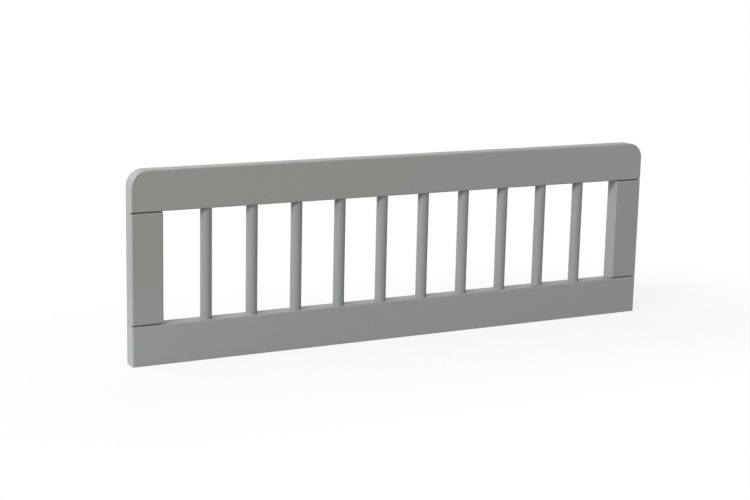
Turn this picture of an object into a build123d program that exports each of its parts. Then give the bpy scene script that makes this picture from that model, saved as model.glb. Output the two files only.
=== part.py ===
from build123d import *
import os

os.makedirs("parts", exist_ok=True)

# Guard rail of a toddler bed: two rails, two stiles and a row of round spindles, glued up as one frame.
# Millimetres. X runs along the rail, Y from the room side to the bed side, Z up.
# The origin is at the centre of the bottom edge.

# Rails and stiles
rail_length = 915.0
board_thickness = 26.0
top_rail_height = 62.0
bottom_rail_height = 62.0
stile_width = 49.5
stile_length = 171.0
corner_radius = 25.0  # upper outer corners of the top rail
edge_radius = 2.5  # round-over along the boards' edges
foot_corner_radius = 1.5  # lower outer corners of the bottom rail
groove_width = 1.3  # shadow groove at the front, between a stile's eased end and the rail
groove_depth = 7.0  # from the front, so the end grain seats behind it

# Spindles, turned from one rod, with a shouldered tenon at each end
spindle_count = 10
spindle_diameter = 18.0
end_gap = 63.0  # clear gap between a stile and the spindle beside it
tenon_diameter = 12.0
tenon_length = 20.0

# Fluted dowel pins, two to each joint of a stile and a rail
pin_diameter = 8.0
pin_length = 40.0
pin_spacing = 24.0
pin_lead = 1.0
ridge_count = 12  # even: the section is two crossed polygons with half as many corners each

# Flanged threaded inserts in the back of the bottom rail, which take the bolts that hold the rail to the bed
insert_inset = 137.5  # from the rail's end
insert_spacing_z = 32.0
insert_length = 14.0
insert_diameter = 10.0
insert_bore = 6.0
flange_diameter = 14.0
flange_thickness = 1.5

# Clearances
glue_clearance = 0.1  # all round a tenon, a pin or an insert
glue_pocket = 1.0  # beyond the end of a tenon or a pin
insert_pocket = 2.0  # beyond the end of an insert, for the tip of its bolt

# Levels and places that follow from these
stile_foot = bottom_rail_height
stile_head = stile_foot + stile_length
stile_middle = (stile_foot + stile_head) / 2
stile_x = (rail_length - stile_width) / 2
back_face = board_thickness / 2
insert_x = rail_length / 2 - insert_inset
insert_z = bottom_rail_height / 2
clear_width = rail_length - 2 * stile_width
spindle_pitch = (clear_width - 2 * end_gap - spindle_diameter) / (spindle_count - 1)
mortise_radius = tenon_diameter / 2 + glue_clearance
mortise_depth = tenon_length + glue_pocket
pin_hole_radius = pin_diameter / 2 + glue_clearance
pin_hole_depth = pin_length / 2 + glue_pocket
first_spindle_x = -spindle_pitch * (spindle_count - 1) / 2

# Faces that meet: each plane looks out of the board that is drilled there
bottom_rail_top = Plane.XY.offset(stile_foot)
stile_foot_face = Plane(origin=(0, 0, stile_foot), x_dir=(1, 0, 0), z_dir=(0, 0, -1))
stile_head_face = Plane.XY.offset(stile_head)
top_rail_underside = Plane(origin=(0, 0, stile_head), x_dir=(1, 0, 0), z_dir=(0, 0, -1))
bottom_rail_back = Plane(origin=(0, back_face, insert_z), x_dir=(-1, 0, 0), z_dir=(0, 1, 0))


def drill_rail(face):
    """Blind mortises for the spindles and pin holes for both stiles, in the rail that is being made."""
    with Locations(face):
        with GridLocations(spindle_pitch, 0, spindle_count, 1):
            Hole(mortise_radius, depth=mortise_depth)
        with GridLocations(2 * stile_x, 0, 2, 1):
            with GridLocations(pin_spacing, 0, 2, 1):
                Hole(pin_hole_radius, depth=pin_hole_depth)


# Top rail: its outline has large corners, and one round-over runs along it on both faces
with BuildPart() as top_rail:
    with BuildSketch(Plane.XZ):
        with Locations((0, stile_head + top_rail_height / 2)):
            Rectangle(rail_length, top_rail_height)
        upper_corners = vertices().group_by(Axis.Y)[-1]
        fillet(upper_corners, radius=corner_radius)
    extrude(amount=board_thickness / 2, both=True)
    outlines = faces().filter_by(Axis.Y).edges()
    fillet(outlines, radius=edge_radius)
    drill_rail(top_rail_underside)
top_rail.part.label = "top_rail"
export_step(top_rail.part, "parts/top_rail.step")

# Bottom rail: a straight board, shaped along its length, then at its ends, then at its lower corners
with BuildPart() as bottom_rail:
    with BuildSketch(Plane.YZ):
        with Locations((0, bottom_rail_height / 2)):
            RectangleRounded(board_thickness, bottom_rail_height, edge_radius)
    extrude(amount=rail_length / 2, both=True)
    with BuildSketch(Plane.XY):
        RectangleRounded(rail_length, board_thickness, edge_radius)
    extrude(amount=bottom_rail_height, mode=Mode.INTERSECT)
    with BuildSketch(Plane.XZ):
        with Locations((0, bottom_rail_height / 2)):
            Rectangle(rail_length, bottom_rail_height)
        lower_corners = vertices().group_by(Axis.Y)[0]
        fillet(lower_corners, radius=foot_corner_radius)
    extrude(amount=board_thickness / 2, both=True, mode=Mode.INTERSECT)
    drill_rail(bottom_rail_top)
    with Locations(bottom_rail_back):
        with GridLocations(2 * insert_x, insert_spacing_z, 2, 2):
            CounterBoreHole(
                radius=insert_diameter / 2 + glue_clearance,
                counter_bore_radius=flange_diameter / 2 + glue_clearance,
                counter_bore_depth=flange_thickness,
                depth=insert_length + insert_pocket,
            )
bottom_rail.part.label = "bottom_rail"
export_step(bottom_rail.part, "parts/bottom_rail.step")

# Stiles: rounded along their length, with eased ends that butt on the rails behind a groove at the front
for side_name, side in (("left", -1), ("right", 1)):
    with BuildPart() as stile:
        with BuildSketch(Plane.XY.offset(stile_foot)):
            with Locations((side * stile_x, 0)):
                RectangleRounded(stile_width, board_thickness, edge_radius)
        extrude(amount=stile_length)
        with BuildSketch(Plane.YZ):
            with Locations((groove_depth / 2, stile_middle)):
                Rectangle(board_thickness - groove_depth, stile_length)
            back_corners = vertices().group_by(Axis.X)[-1]
            fillet(back_corners, radius=edge_radius)
            with Locations((0, stile_middle)):
                RectangleRounded(board_thickness, stile_length - 2 * groove_width, edge_radius)
        extrude(amount=rail_length / 2, both=True, mode=Mode.INTERSECT)
        with Locations(stile_foot_face, stile_head_face):
            with Locations((side * stile_x, 0)):
                with GridLocations(pin_spacing, 0, 2, 1):
                    Hole(pin_hole_radius, depth=pin_hole_depth)
    stile.part.label = side_name + "_stile"
    export_step(stile.part, "parts/" + stile.part.label + ".step")

# Spindles: a round rod that stands on the bottom rail and meets the underside of the top rail
for number in range(spindle_count):
    spindle_x = first_spindle_x + number * spindle_pitch
    with BuildPart() as spindle:
        with BuildSketch(Plane.XZ.move(Location((spindle_x, 0, 0)))):
            with BuildLine():
                Polyline(
                    (0, stile_foot - tenon_length),
                    (tenon_diameter / 2, stile_foot - tenon_length),
                    (tenon_diameter / 2, stile_foot),
                    (spindle_diameter / 2, stile_foot),
                    (spindle_diameter / 2, stile_head),
                    (tenon_diameter / 2, stile_head),
                    (tenon_diameter / 2, stile_head + tenon_length),
                    (0, stile_head + tenon_length),
                    close=True,
                )
            make_face()
        revolve(axis=Axis((spindle_x, 0, 0), (0, 0, 1)))
    spindle.part.label = f"spindle_{number + 1:02d}"
    export_step(spindle.part, "parts/" + spindle.part.label + ".step")

# Dowel pins: two at each joint, half in the stile and half in the rail, ridged and chamfered at both ends
for level_name, level in (("top", stile_head), ("bottom", stile_foot)):
    for side_name, side in (("left", -1), ("right", 1)):
        with BuildPart() as pins:
            with BuildSketch(Plane.XY.offset(level - pin_length / 2)):
                with Locations((side * stile_x, 0)):
                    with GridLocations(pin_spacing, 0, 2, 1):
                        RegularPolygon(pin_diameter / 2, ridge_count)
            extrude(amount=pin_length)
            chamfer(faces().filter_by(Axis.Z).edges(), length=pin_lead)
            with BuildSketch(Plane.XY.offset(level - pin_length / 2)):
                with Locations((side * stile_x, 0)):
                    with GridLocations(pin_spacing, 0, 2, 1):
                        RegularPolygon(pin_diameter / 2, ridge_count // 2)
                        RegularPolygon(pin_diameter / 2, ridge_count // 2, rotation=360 / ridge_count)
            extrude(amount=pin_length, mode=Mode.INTERSECT)
        pins.part.label = "dowel_pins_" + level_name + "_" + side_name
        export_step(pins.part, "parts/" + pins.part.label + ".step")

# Threaded inserts: two on each side, one above the other, with the flange flush with the back
for side_name, side in (("left", -1), ("right", 1)):
    with BuildPart() as inserts:
        for row in (-1, 1):
            axis_x = side * insert_x
            axis_z = insert_z + row * insert_spacing_z / 2
            with BuildSketch(Plane.XY.move(Location((axis_x, 0, axis_z)))):
                with BuildLine():
                    Polyline(
                        (insert_bore / 2, back_face),
                        (flange_diameter / 2, back_face),
                        (flange_diameter / 2, back_face - flange_thickness),
                        (insert_diameter / 2, back_face - flange_thickness),
                        (insert_diameter / 2, back_face - insert_length),
                        (insert_bore / 2, back_face - insert_length),
                        close=True,
                    )
                make_face()
            revolve(axis=Axis((axis_x, 0, axis_z), (0, 1, 0)))
    inserts.part.label = "threaded_inserts_" + side_name
    export_step(inserts.part, "parts/" + inserts.part.label + ".step")
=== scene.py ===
import bmesh
import bpy
import math
from mathutils import Matrix, Vector


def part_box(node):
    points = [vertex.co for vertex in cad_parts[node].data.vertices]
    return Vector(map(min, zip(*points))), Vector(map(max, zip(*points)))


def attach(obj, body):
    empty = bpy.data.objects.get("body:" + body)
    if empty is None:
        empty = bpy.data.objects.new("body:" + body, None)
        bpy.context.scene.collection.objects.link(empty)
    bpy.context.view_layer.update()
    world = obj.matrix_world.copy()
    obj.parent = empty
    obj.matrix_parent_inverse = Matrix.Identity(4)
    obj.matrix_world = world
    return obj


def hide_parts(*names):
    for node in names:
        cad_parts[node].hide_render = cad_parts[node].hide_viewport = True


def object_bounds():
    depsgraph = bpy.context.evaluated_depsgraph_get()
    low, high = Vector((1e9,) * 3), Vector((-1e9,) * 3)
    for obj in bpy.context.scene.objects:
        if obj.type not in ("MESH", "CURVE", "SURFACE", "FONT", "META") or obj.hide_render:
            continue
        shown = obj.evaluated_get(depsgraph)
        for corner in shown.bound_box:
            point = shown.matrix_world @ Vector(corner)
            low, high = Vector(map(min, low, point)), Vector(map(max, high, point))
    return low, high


# guard rail of a toddler bed, in metres: X along it, Y towards the bed, Z up
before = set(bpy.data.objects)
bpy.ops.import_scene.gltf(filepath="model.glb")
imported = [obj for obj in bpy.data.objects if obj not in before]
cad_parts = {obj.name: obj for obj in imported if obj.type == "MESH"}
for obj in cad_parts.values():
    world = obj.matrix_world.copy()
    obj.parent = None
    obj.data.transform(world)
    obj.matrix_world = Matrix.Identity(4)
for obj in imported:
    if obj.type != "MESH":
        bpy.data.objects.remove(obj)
cadLow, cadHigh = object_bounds()
mm = 0.001
xAxis, zAxis = 0, 2
print("frame loaded,", len(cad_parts), "nodes")


# grey paint: sprayed satin over sanded wood
paint = {
    # painted light: the tints are warmer at the left end and cooler at the right, and up high darker at
    # the left, for light that falls unevenly along the frame; the low ones are greener. Each pair is at
    # the left end and at the right end
    "boardLow": ((0.264, 0.279, 0.263), (0.262, 0.271, 0.257)),
    "boardHigh": ((0.252, 0.254, 0.231), (0.272, 0.271, 0.264)),
    "spindle": ((0.229, 0.233, 0.217), (0.229, 0.235, 0.230)),
    "lowTo": 0.03,  # metres up, from the low tints to the high ones
    "highFrom": 0.17,
    "stileShade": 0.95,  # the stiles are a little darker than the rails
    "cloudSize": 0.11,  # metres, slow change of the colour over a board
    "cloudDrift": 0.02,
    "gloss": 0.44,
    "roughness": 0.42,
    "roughnessDrift": 0.05,
    "patchesPerCloud": 3,  # the roughness changes in smaller patches
    "grainAcross": 2.2 * mm,  # grain that shows through the paint
    "grainAlong": 75 * mm,
    "grainDepth": 0.018 * mm,
    "peelSize": 1.3 * mm,  # orange peel of the spray
    "peelDepth": 0.012 * mm,
    "edgeLift": 0.03,  # thinner, paler paint on the rounded edges
}


def startFinish(name):
    material = bpy.data.materials.new(name)
    material.use_nodes = True
    return material, material.node_tree.nodes, material.node_tree.links


def linkNoise(nodes, links, place, scale, detail):
    noise = nodes.new("ShaderNodeTexNoise")
    noise.inputs["Scale"].default_value = scale
    noise.inputs["Detail"].default_value = detail
    links.new(place, noise.inputs["Vector"])
    return noise.outputs["Fac"]


def linkStretch(nodes, links, place, scale):
    stretch = nodes.new("ShaderNodeMapping")
    stretch.inputs["Scale"].default_value = scale
    links.new(place, stretch.inputs["Vector"])
    return stretch.outputs[0]


def linkMath(nodes, links, operation, *values):
    # one step of arithmetic, on numbers or on what other nodes give
    step = nodes.new("ShaderNodeMath")
    step.operation = operation
    for socket, value in zip(step.inputs, values):
        if isinstance(value, bpy.types.NodeSocket):
            links.new(value, socket)
        else:
            socket.default_value = value
    return step.outputs[0]


def linkMix(nodes, links, share, one, two):
    # two colours, or what two other nodes give, mixed by the share
    mix = nodes.new("ShaderNodeMix")
    mix.data_type = "RGBA"
    links.new(share, mix.inputs["Factor"])
    for socket, tint in (("A", one), ("B", two)):
        if isinstance(tint, bpy.types.NodeSocket):
            links.new(tint, mix.inputs[socket])
        else:
            mix.inputs[socket].default_value = (*tint, 1)
    return mix.outputs["Result"]


def linkRange(nodes, links, value, low, high):
    # low where the value is 0, high where it is 1
    spread = nodes.new("ShaderNodeMapRange")
    spread.inputs["To Min"].default_value = low
    spread.inputs["To Max"].default_value = high
    links.new(value, spread.inputs["Value"])
    return spread.outputs["Result"]


def linkSpread(nodes, links, value, start, end):
    # 0 where the value is at the start, 1 where it is at the end
    spread = nodes.new("ShaderNodeMapRange")
    spread.inputs["From Min"].default_value = start
    spread.inputs["From Max"].default_value = end
    links.new(value, spread.inputs["Value"])
    return spread.outputs["Result"]


def linkBump(nodes, links, height, depth, normal=None):
    bump = nodes.new("ShaderNodeBump")
    bump.inputs["Strength"].default_value = 1.0
    bump.inputs["Distance"].default_value = depth
    links.new(height, bump.inputs["Height"])
    if normal:
        links.new(normal, bump.inputs["Normal"])
    return bump.outputs["Normal"]


def linkEdges(nodes, links, place):
    # 0 on a flat face, 1 in the middle of a rounded edge, where the surface is turned by 45 degrees
    turned = nodes.new("ShaderNodeVectorMath")
    turned.operation = "ABSOLUTE"
    links.new(place.outputs["Normal"], turned.inputs[0])
    parts = nodes.new("ShaderNodeSeparateXYZ")
    links.new(turned.outputs[0], parts.inputs[0])
    most = linkMath(nodes, links, "MAXIMUM", parts.outputs["X"], parts.outputs["Y"])
    most = linkMath(nodes, links, "MAXIMUM", most, parts.outputs["Z"])
    return linkSpread(nodes, links, most, 1, math.cos(math.radians(45)))


def linkPaintedLightDrift(nodes, links, spot, tints, highTints):
    # painted light: a drift along the frame, or a low one and a high one mixed by height
    parts = nodes.new("ShaderNodeSeparateXYZ")
    links.new(spot, parts.inputs[0])
    along = linkSpread(nodes, links, parts.outputs["X"], cadLow.x, cadHigh.x)
    drift = linkMix(nodes, links, along, *tints)
    if not highTints:
        return drift
    upward = linkSpread(nodes, links, parts.outputs["Z"], paint["lowTo"], paint["highFrom"])
    return linkMix(nodes, links, upward, drift, linkMix(nodes, links, along, *highTints))


def makePaint(finish, grainAxis, tints, highTints=None, level=1):
    material, nodes, links = startFinish(finish)
    shader = nodes["Principled BSDF"]
    place = nodes.new("ShaderNodeTexCoord")
    spot = place.outputs["Object"]

    cloud = linkNoise(nodes, links, spot, 1 / paint["cloudSize"], detail=3)
    shade = linkRange(nodes, links, cloud, level - paint["cloudDrift"], level + paint["cloudDrift"])
    if highTints:
        # boards have edges, spindles are round
        lift = linkRange(nodes, links, linkEdges(nodes, links, place), 0, paint["edgeLift"])
        shade = linkMath(nodes, links, "ADD", shade, lift)
    # the base colour carries painted light from the drift along the frame
    tint = nodes.new("ShaderNodeVectorMath")
    tint.operation = "SCALE"
    links.new(linkPaintedLightDrift(nodes, links, spot, tints, highTints), tint.inputs[0])
    links.new(shade, tint.inputs["Scale"])
    links.new(tint.outputs[0], shader.inputs["Base Color"])

    shader.inputs["Specular IOR Level"].default_value = paint["gloss"]
    low, high = paint["roughness"] - paint["roughnessDrift"], paint["roughness"] + paint["roughnessDrift"]
    patches = linkNoise(nodes, links, spot, paint["patchesPerCloud"] / paint["cloudSize"], detail=4)
    links.new(linkRange(nodes, links, patches, low, high), shader.inputs["Roughness"])

    scale = Vector((1 / paint["grainAcross"],) * 3)
    scale[grainAxis] = 1 / paint["grainAlong"]
    grain = linkNoise(nodes, links, linkStretch(nodes, links, spot, scale), 1, detail=3)
    grain = linkBump(nodes, links, grain, paint["grainDepth"])
    peel = linkNoise(nodes, links, spot, 1 / paint["peelSize"], detail=2)
    links.new(linkBump(nodes, links, peel, paint["peelDepth"], grain), shader.inputs["Normal"])
    return material


railPaint = makePaint("railPaint", xAxis, paint["boardLow"], paint["boardHigh"])
stilePaint = makePaint("stilePaint", zAxis, paint["boardLow"], paint["boardHigh"], paint["stileShade"])
spindlePaint = makePaint("spindlePaint", zAxis, paint["spindle"])
print("paint done")


# boards: what the boxes in the frame don't say
board = {
    "edge": 2.5 * mm,  # round-over along the edges
    "edgeSteps": 8,
    "corner": 25.0 * mm,  # upper corners of the top rail
    "cornerSteps": 24,
    "footCorner": 1.5 * mm,  # lower corners of the bottom rail
    "groove": 1.3 * mm,  # shadow groove at the front, between a stile's end and the rail
    "grooveDepth": 7.0 * mm,
    "weld": 0.001 * mm,  # points closer than this become one
    "smoothAngle": 35,  # degrees
}
holes = {
    "clearance": 0.1 * mm,
    "pocket": 1.0 * mm,  # beyond the end of a tenon or a pin
    "overshoot": 1.0 * mm,  # the drill starts this far outside the board
    "tenonWidth": 12.0 * mm,
    "pinWidth": 8.0 * mm,
    "insertWidth": 10.0 * mm,
    "flangeWidth": 14.0 * mm,
    "flangeThick": 1.5 * mm,
    "insertPocket": 2.0 * mm,
    "sides": 32,
}
spindleNames = sorted(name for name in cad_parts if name.startswith("spindle"))
pinNames = sorted(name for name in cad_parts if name.startswith("dowel_pins"))
insertNames = sorted(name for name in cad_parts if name.startswith("threaded_inserts"))
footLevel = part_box("bottom_rail")[1].z  # where the stiles and spindles stand
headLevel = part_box("top_rail")[0].z


def placePiece(name, work, material, node):
    bmesh.ops.recalc_face_normals(work, faces=work.faces)
    mesh = bpy.data.meshes.new(name)
    work.to_mesh(mesh)
    work.free()
    mesh.materials.append(material)
    piece = bpy.data.objects.new(name, mesh)
    bpy.context.scene.collection.objects.link(piece)
    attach(piece, "root")
    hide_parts(node)
    return piece


def smoothPiece(piece):
    # soft roundings between flat faces
    piece.data.shade_smooth()
    piece.data.set_sharp_from_angle(angle=math.radians(board["smoothAngle"]))
    weigh = piece.modifiers.new("flatFaces", "WEIGHTED_NORMAL")
    weigh.keep_sharp = True


def drillPiece(piece, spots):
    # spots: both ends of each round hole, and its radius
    work = bmesh.new()
    for start, end, radius in spots:
        way = end - start
        turn = way.to_track_quat("Z", "Y").to_matrix().to_4x4()
        bmesh.ops.create_cone(
            work, cap_ends=True, segments=holes["sides"], radius1=radius, radius2=radius,
            depth=way.length, matrix=Matrix.Translation((start + end) / 2) @ turn)
    mesh = bpy.data.meshes.new("drill")
    work.to_mesh(mesh)
    work.free()
    drill = bpy.data.objects.new("drill", mesh)
    bpy.context.scene.collection.objects.link(drill)
    cut = piece.modifiers.new("holes", "BOOLEAN")
    cut.object = drill
    cut.solver = "EXACT"
    done = bpy.data.meshes.new_from_object(piece.evaluated_get(bpy.context.evaluated_depsgraph_get()))
    piece.modifiers.remove(cut)
    piece.data = done
    bpy.data.objects.remove(drill)


def holeSpots(names, low, high):
    # the round holes that these nodes need in a board of this height
    spots = []
    for name in names:
        start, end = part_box(name)
        if name in pinNames:
            width = holes["pinWidth"]
            middles = (start.x + width / 2, end.x - width / 2)
        else:
            width = holes["tenonWidth"]
            middles = ((start.x + end.x) / 2,)
        bottom = low - holes["overshoot"] if start.z < low else start.z - holes["pocket"]
        top = high + holes["overshoot"] if end.z > high else end.z + holes["pocket"]
        for x in middles:
            spots.append((Vector((x, 0, bottom)), Vector((x, 0, top)), width / 2 + holes["clearance"]))
    return spots


def insertPlaces(node):
    # where the axis of each insert comes out of the back
    low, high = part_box(node)
    inset = holes["flangeWidth"] / 2
    return [Vector(((low.x + high.x) / 2, high.y, z)) for z in (low.z + inset, high.z - inset)]


def sweepBoard(low, high, along, across, stations, marks=()):
    # a rounded section, swept past stations, with marks where its sides need more points
    # each station: its place, the front and the back there, and how much is cut off the lower edge
    middle, wide = (low[across] + high[across]) / 2, (high[across] - low[across]) / 2
    edge = board["edge"]
    arc = [(wide, mark) for mark in marks]
    for step in range(board["edgeSteps"] + 1):
        turn = math.radians(90 * step / board["edgeSteps"])
        arc.append((wide - edge + edge * math.cos(turn), high.y - edge + edge * math.sin(turn)))
    ring = []
    for side, face in ((1, 1), (-1, 1), (-1, -1), (1, -1)):
        ring += [(side * a, face * b) for a, b in (arc if side == face else reversed(arc))]
    work = bmesh.new()
    rows = []
    for place, front, back, cut in stations:
        row = []
        for a, y in ring:
            spot = Vector((0, max(front, min(back, y)), 0))
            spot[along] = place
            spot[across] = max(middle + a, low[across] + cut)
            row.append(work.verts.new(spot))
        rows.append(row)
    for one, two in zip(rows, rows[1:]):
        for k in range(len(ring)):
            work.faces.new((one[k - 1], one[k], two[k], two[k - 1]))
    work.faces.new(rows[0])
    work.faces.new(rows[-1])
    bmesh.ops.remove_doubles(work, verts=work.verts, dist=board["weld"])
    return work


def easeSteps(edge):
    # distances from a board's end at which its rounded edge is drawn
    turns = [math.radians(90 * step / board["edgeSteps"]) for step in range(board["edgeSteps"] + 1)]
    return [edge - edge * math.cos(turn) for turn in turns]


def easedBy(edge, away):
    # how far a rounded edge has drawn the face in, this far from the board's end
    return edge - math.sqrt(edge * edge - (edge - away) ** 2) if away < edge else 0


def makeTopRail():
    low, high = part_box("top_rail")
    corner = board["corner"]
    outline = [(low.x, low.z), (high.x, low.z)]
    for x, start in ((high.x - corner, 0), (low.x + corner, 90)):
        for step in range(board["cornerSteps"] + 1):
            turn = math.radians(start + 90 * step / board["cornerSteps"])
            outline.append((x + corner * math.cos(turn), high.z - corner + corner * math.sin(turn)))
    work = bmesh.new()
    front = work.faces.new([work.verts.new((x, low.y, z)) for x, z in outline])
    made = bmesh.ops.extrude_face_region(work, geom=[front])["geom"]
    behind = [part for part in made if isinstance(part, bmesh.types.BMVert)]
    bmesh.ops.translate(work, verts=behind, vec=(0, high.y - low.y, 0))
    # round over the outline of the front and of the back
    rims = [edge for edge in work.edges if abs(edge.verts[0].co.y - edge.verts[1].co.y) < board["edge"]]
    bmesh.ops.bevel(
        work, geom=rims, offset=board["edge"], segments=board["edgeSteps"], profile=0.5, affect="EDGES")
    piece = placePiece("topRail", work, railPaint, "top_rail")
    topPins = [name for name in pinNames if "_top_" in name]
    drillPiece(piece, holeSpots(spindleNames + topPins, low.z, high.z))
    smoothPiece(piece)


def makeBottomRail():
    low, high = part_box("bottom_rail")
    ends = []
    for away in easeSteps(board["edge"]):
        ease = easedBy(board["edge"], away)
        ends.append((away, low.y + ease, high.y - ease, easedBy(board["footCorner"], away)))
    stations = [(low.x + away, *rest) for away, *rest in ends]
    stations += [(high.x - away, *rest) for away, *rest in reversed(ends)]
    work = sweepBoard(low, high, xAxis, zAxis, stations)
    piece = placePiece("bottomRail", work, railPaint, "bottom_rail")
    bottomPins = [name for name in pinNames if "_bottom_" in name]
    spots = holeSpots(spindleNames + bottomPins, low.z, high.z)
    sinks = []
    bodyHole = holes["insertWidth"] / 2 + holes["clearance"]
    flangeHole = holes["flangeWidth"] / 2 + holes["clearance"]
    for node in insertNames:
        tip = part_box(node)[0].y - holes["insertPocket"]
        for place in insertPlaces(node):
            mouth = place + Vector((0, holes["overshoot"], 0))
            seat = place - Vector((0, holes["flangeThick"], 0))
            spots.append((Vector((place.x, tip, place.z)), mouth, bodyHole))
            sinks.append((seat, mouth, flangeHole))
    drillPiece(piece, spots)
    drillPiece(piece, sinks)
    smoothPiece(piece)


def makeStile(node):
    low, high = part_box(node)
    edge, groove = board["edge"], board["groove"]
    seat = low.y + board["grooveDepth"]
    steps = easeSteps(edge)
    # behind the groove the end grain seats on the rail, in front of it the end stands clear
    ends = [(away, seat) for away in steps if away < groove] + [(groove, seat)]
    for away in sorted(steps + [groove + step for step in steps]):
        if away >= groove:
            ends.append((away, low.y + easedBy(edge, away - groove)))
    ends = [(away, front, high.y - easedBy(edge, away), 0) for away, front in ends]
    stations = [(low.z + away, *rest) for away, *rest in ends]
    stations += [(high.z - away, *rest) for away, *rest in reversed(ends)]
    work = sweepBoard(low, high, zAxis, xAxis, stations, (-seat,))
    side = node.split("_")[0]
    piece = placePiece(side + "Stile", work, stilePaint, node)
    drillPiece(piece, holeSpots([name for name in pinNames if name.endswith(side)], low.z, high.z))
    smoothPiece(piece)


makeTopRail()
makeBottomRail()
makeStile("left_stile")
makeStile("right_stile")
print("boards done")


# spindles: turned rods with a little paint gathered where they meet the rails
spindle = {
    "sides": 64,
    "gather": 0.6 * mm,
    "gatherHeight": 1.4 * mm,
    "gatherSteps": 5,
}


def latheRings(work, rings, turn):
    # rings: the height of each, and its radii round the axis
    rows = []
    for height, radii in rings:
        row = []
        for k, radius in enumerate(radii):
            angle = math.tau * k / len(radii)
            spot = Vector((radius * math.cos(angle), radius * math.sin(angle), height))
            row.append(work.verts.new(turn @ spot))
        rows.append(row)
    for one, two in zip(rows, rows[1:]):
        for k in range(len(one)):
            work.faces.new((one[k - 1], one[k], two[k], two[k - 1]))
    return rows


def makeSpindle(node):
    low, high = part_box(node)
    thick, tenon = (high.y - low.y) / 2, holes["tenonWidth"] / 2
    foot = []
    for step in range(spindle["gatherSteps"] + 1):
        turn = math.radians(90 * step / spindle["gatherSteps"])
        foot.append((
            footLevel + spindle["gatherHeight"] * (1 - math.cos(turn)),
            thick + spindle["gather"] * (1 - math.sin(turn))))
    head = [(footLevel + headLevel - height, radius) for height, radius in reversed(foot)]
    profile = [(low.z, tenon), (footLevel, tenon)] + foot + head + [(headLevel, tenon), (high.z, tenon)]
    work = bmesh.new()
    rows = latheRings(
        work, [(height, [radius] * spindle["sides"]) for height, radius in profile],
        Matrix.Translation(((low.x + high.x) / 2, (low.y + high.y) / 2, 0)))
    work.faces.new(rows[0])
    work.faces.new(rows[-1])
    piece = placePiece("spindle" + node.split("_")[1], work, spindlePaint, node)
    smoothPiece(piece)


for name in spindleNames:
    makeSpindle(name)
print("spindles done")


# threaded inserts in the back of the bottom rail: flange, hexagon socket and bolt thread
insert = {
    "sides": 48,
    "chamfer": 0.35 * mm,
    "key": 6.0 * mm,  # across the flats
    "socketDepth": 4.5 * mm,
    "bolt": 6.0 * mm,
    "pitch": 1.0 * mm,
    "threadDepth": 0.5 * mm,
    "threadSteps": 6,
}
zinc = {
    "dull": (0.46, 0.46, 0.43),
    "bright": (0.62, 0.62, 0.60),
    "spangles": 900,  # in a metre
    "roughness": (0.28, 0.46),
    "pits": 2600,  # in a metre
    "pitDepth": 0.01 * mm,
}


def makeZinc():
    material, nodes, links = startFinish("zincPlate")
    shader = nodes["Principled BSDF"]
    shader.inputs["Metallic"].default_value = 1.0
    spot = nodes.new("ShaderNodeTexCoord").outputs["Object"]
    spangle = linkNoise(nodes, links, spot, zinc["spangles"], detail=4)
    links.new(linkMix(nodes, links, spangle, zinc["dull"], zinc["bright"]), shader.inputs["Base Color"])
    links.new(linkRange(nodes, links, spangle, *zinc["roughness"]), shader.inputs["Roughness"])
    pits = linkNoise(nodes, links, spot, zinc["pits"], detail=2)
    links.new(linkBump(nodes, links, pits, zinc["pitDepth"]), shader.inputs["Normal"])
    return material


def makeInserts(node, material):
    low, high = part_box(node)
    length, thick = high.y - low.y, holes["flangeThick"]
    body, flange = holes["insertWidth"] / 2, holes["flangeWidth"] / 2
    sides, chamfer, pitch = insert["sides"], insert["chamfer"], insert["pitch"]
    bore = insert["bolt"] / 2
    hexagon = []
    for k in range(sides):
        off = math.tau * k / sides % math.radians(60) - math.radians(30)
        hexagon.append(insert["key"] / 2 / math.cos(off))
    # round the outside from the far end, over the flange and into the socket
    rings = [
        (-length, [bore] * sides),
        (-length, [body] * sides),
        (-thick, [body] * sides),
        (-thick, [flange] * sides),
        (-chamfer, [flange] * sides),
        (0, [flange - chamfer] * sides),
        (0, [radius + chamfer for radius in hexagon]),
        (-chamfer, hexagon),
        (-insert["socketDepth"], hexagon),
    ]
    # the bolt thread winds down from the socket to the far end
    steps = int((length - insert["socketDepth"]) / pitch * insert["threadSteps"])
    for step in range(steps):
        height = -insert["socketDepth"] - step * pitch / insert["threadSteps"]
        row = []
        for k in range(sides):
            phase = (height / pitch + k / sides) % 1
            row.append(bore - insert["threadDepth"] * abs(2 * phase - 1))
        rings.append((height, row))
    work = bmesh.new()
    outward = Matrix.Rotation(math.radians(-90), 4, "X")
    for place in insertPlaces(node):
        rows = latheRings(work, rings, Matrix.Translation(place) @ outward)
        for k in range(sides):
            work.faces.new((rows[-1][k - 1], rows[-1][k], rows[0][k], rows[0][k - 1]))
    side = node.split("_")[2]
    piece = placePiece(side + "Inserts", work, material, node)
    smoothPiece(piece)


zincPlate = makeZinc()
for name in insertNames:
    makeInserts(name, zincPlate)
print("inserts done")


# dowel pins, hidden in the joints: bare beech
beech = {
    "dark": (0.42, 0.26, 0.14),
    "pale": (0.58, 0.40, 0.24),
    "fleck": 1.6 * mm,
    "fleckLong": 14 * mm,
    "fleckDepth": 0.05 * mm,
    "roughness": 0.6,
}


def makeBeech():
    material, nodes, links = startFinish("bareBeech")
    shader = nodes["Principled BSDF"]
    spot = nodes.new("ShaderNodeTexCoord").outputs["Object"]
    scale = (1 / beech["fleck"], 1 / beech["fleck"], 1 / beech["fleckLong"])
    fleck = linkNoise(nodes, links, linkStretch(nodes, links, spot, scale), 1, detail=5)
    links.new(linkMix(nodes, links, fleck, beech["dark"], beech["pale"]), shader.inputs["Base Color"])
    shader.inputs["Roughness"].default_value = beech["roughness"]
    links.new(linkBump(nodes, links, fleck, beech["fleckDepth"]), shader.inputs["Normal"])
    return material


bareBeech = makeBeech()
for name in pinNames:
    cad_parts[name].data.materials[0] = bareBeech
print("pins done")


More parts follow.
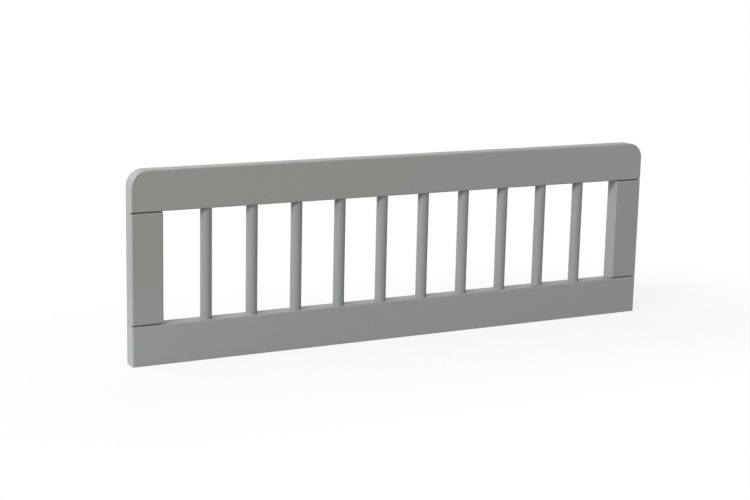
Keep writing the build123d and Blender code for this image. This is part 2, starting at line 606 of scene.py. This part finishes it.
# camera, from the edges of the photo
camera = {
    "place": (-1.21240, -2.19090, 0.65841),
    "turn": 27.981,  # degrees to the right of straight ahead
    "tilt": -11.690,
    "roll": 1.298,
    "focal": 1594.32,  # in pixels of a picture this wide
    "width": 750,
    "sensor": 36,  # millimetres wide
}


def makeCamera():
    data = bpy.data.cameras.new("photoCamera")
    data.sensor_width = camera["sensor"]
    data.lens = camera["focal"] * camera["sensor"] / camera["width"]
    turn, tilt, roll = (math.radians(camera[k]) for k in ("turn", "tilt", "roll"))
    ahead = Vector((math.sin(turn) * math.cos(tilt), math.cos(turn) * math.cos(tilt), math.sin(tilt)))
    across = Vector((math.cos(turn), -math.sin(turn), 0))
    upward = across.cross(ahead)
    right = math.cos(roll) * across + math.sin(roll) * upward
    up = -math.sin(roll) * across + math.cos(roll) * upward
    facing = Matrix((right, up, -ahead)).transposed().to_4x4()
    shot = bpy.data.objects.new("photoCamera", data)
    shot.matrix_world = Matrix.Translation(camera["place"]) @ facing
    bpy.context.scene.collection.objects.link(shot)
    bpy.context.scene.camera = shot


makeCamera()
print("camera done")


# lamps: each shines at the middle of the rail, from a direction and so many metres away
lamps = {
    "keyLamp": {
        "watts": 1460,
        "size": (4.8, 3.6),
        "from": (-0.787, -0.401, 0.469),
        "away": 12.0,
    },
    "sideLamp": {
        "watts": 6.6,
        "size": (0.9, 0.7),
        "from": (-0.750, 0.200, 0.630),
        "away": 1.25,
        "colour": (1, 1, 1.18),
    },
    "frontLamp": {
        "watts": 23,
        "size": (3.0, 2.0),
        "from": (0.770, -0.539, 0.342),
        "away": 4.5,
    },
    "backLamp": {
        "watts": 50,
        "size": (1.6, 1.4),
        "from": (0.250, 0.780, 0.570),
        "away": 5.0,
        "colour": (1, 1, 1.07),
        "glare": False,  # the paint doesn't mirror it
    },
}
aim = Vector((0, 0, 0.15))


def makeLamps():
    for name, lamp in lamps.items():
        data = bpy.data.lights.new(name, "AREA")
        data.shape = "RECTANGLE"
        data.size, data.size_y = lamp["size"]
        data.energy = lamp["watts"]
        data.color = lamp.get("colour", (1, 1, 1))
        way = Vector(lamp["from"]).normalized()
        holder = bpy.data.objects.new(name, data)
        holder.location = aim + way * lamp["away"]
        holder.rotation_euler = way.to_track_quat("Z", "Y").to_euler()
        holder.visible_glossy = lamp.get("glare", True)
        bpy.context.scene.collection.objects.link(holder)


makeLamps()
print("lamps done")


# white room: what the camera or a shiny surface sees of it is white, what lights the rail is the fill
room = {
    "fill": 0.18,
    "floorColour": (0.7, 0.7, 0.7),
    "floorSize": 6.0,
    "floorDrop": 0.5 * mm,  # below the rail
    "shadowShare": 0.15,  # how much the lamps show on the floor under the rail, for its shadow
    "shadowNear": 0.03,
    "shadowFar": 0.5,  # metres from the rail at which the floor is plain white
}


def addRays(nodes, links, *kinds):
    # 1 for a ray of one of these kinds, 0 for the others
    path = nodes.new("ShaderNodeLightPath")
    seen = path.outputs[kinds[0]]
    for kind in kinds[1:]:
        seen = linkMath(nodes, links, "MAXIMUM", seen, path.outputs[kind])
    return seen


def makeRoom():
    world = bpy.data.worlds.new("whiteRoom")
    bpy.context.scene.world = world
    world.use_nodes = True
    nodes, links = world.node_tree.nodes, world.node_tree.links
    background = nodes["Background"]
    background.inputs["Color"].default_value = (1, 1, 1, 1)
    seen = addRays(nodes, links, "Is Camera Ray", "Is Glossy Ray", "Is Transmission Ray")
    links.new(linkRange(nodes, links, seen, room["fill"], 1), background.inputs["Strength"])


def makeFloorFinish():
    material, nodes, links = startFinish("paleFloor")
    nodes.remove(nodes["Principled BSDF"])
    matt = nodes.new("ShaderNodeBsdfDiffuse")
    matt.inputs["Color"].default_value = (*room["floorColour"], 1)
    white = nodes.new("ShaderNodeEmission")
    # distance from the rail's own line on the floor
    parts = nodes.new("ShaderNodeSeparateXYZ")
    links.new(nodes.new("ShaderNodeTexCoord").outputs["Object"], parts.inputs[0])
    along = linkMath(nodes, links, "ABSOLUTE", parts.outputs["X"])
    beyond = linkMath(nodes, links, "SUBTRACT", along, cadHigh.x)
    flat = nodes.new("ShaderNodeCombineXYZ")
    links.new(linkMath(nodes, links, "MAXIMUM", beyond, 0), flat.inputs["X"])
    links.new(parts.outputs["Y"], flat.inputs["Y"])
    reach = nodes.new("ShaderNodeVectorMath")
    reach.operation = "LENGTH"
    links.new(flat.outputs[0], reach.inputs[0])
    # the camera sees the floor fade to white away from the rail, a shiny surface sees it white all over
    fade = nodes.new("ShaderNodeMapRange")
    fade.interpolation_type = "SMOOTHERSTEP"
    fade.inputs["From Min"].default_value = room["shadowNear"]
    fade.inputs["From Max"].default_value = room["shadowFar"]
    fade.inputs["To Min"].default_value = 1 - room["shadowShare"]
    fade.inputs["To Max"].default_value = 1
    links.new(reach.outputs["Value"], fade.inputs["Value"])
    direct = addRays(nodes, links, "Is Camera Ray")
    direct = linkMath(nodes, links, "MULTIPLY", direct, fade.outputs["Result"])
    mirrored = addRays(nodes, links, "Is Glossy Ray", "Is Transmission Ray")
    mix = nodes.new("ShaderNodeMixShader")
    links.new(linkMath(nodes, links, "MAXIMUM", direct, mirrored), mix.inputs["Fac"])
    links.new(matt.outputs[0], mix.inputs[1])
    links.new(white.outputs[0], mix.inputs[2])
    links.new(mix.outputs[0], nodes["Material Output"].inputs["Surface"])
    return material


def makeFloor():
    half = room["floorSize"] / 2
    corners = [(-half, -half, 0), (half, -half, 0), (half, half, 0), (-half, half, 0)]
    mesh = bpy.data.meshes.new("floor")
    mesh.from_pydata(corners, [], [(0, 1, 2, 3)])
    floor = bpy.data.objects.new("floor", mesh)
    bpy.context.scene.collection.objects.link(floor)
    floor.location.z = cadLow.z - room["floorDrop"]
    mesh.materials.append(makeFloorFinish())


makeRoom()
makeFloor()
bpy.context.scene.view_settings.view_transform = "Standard"
print("room done")
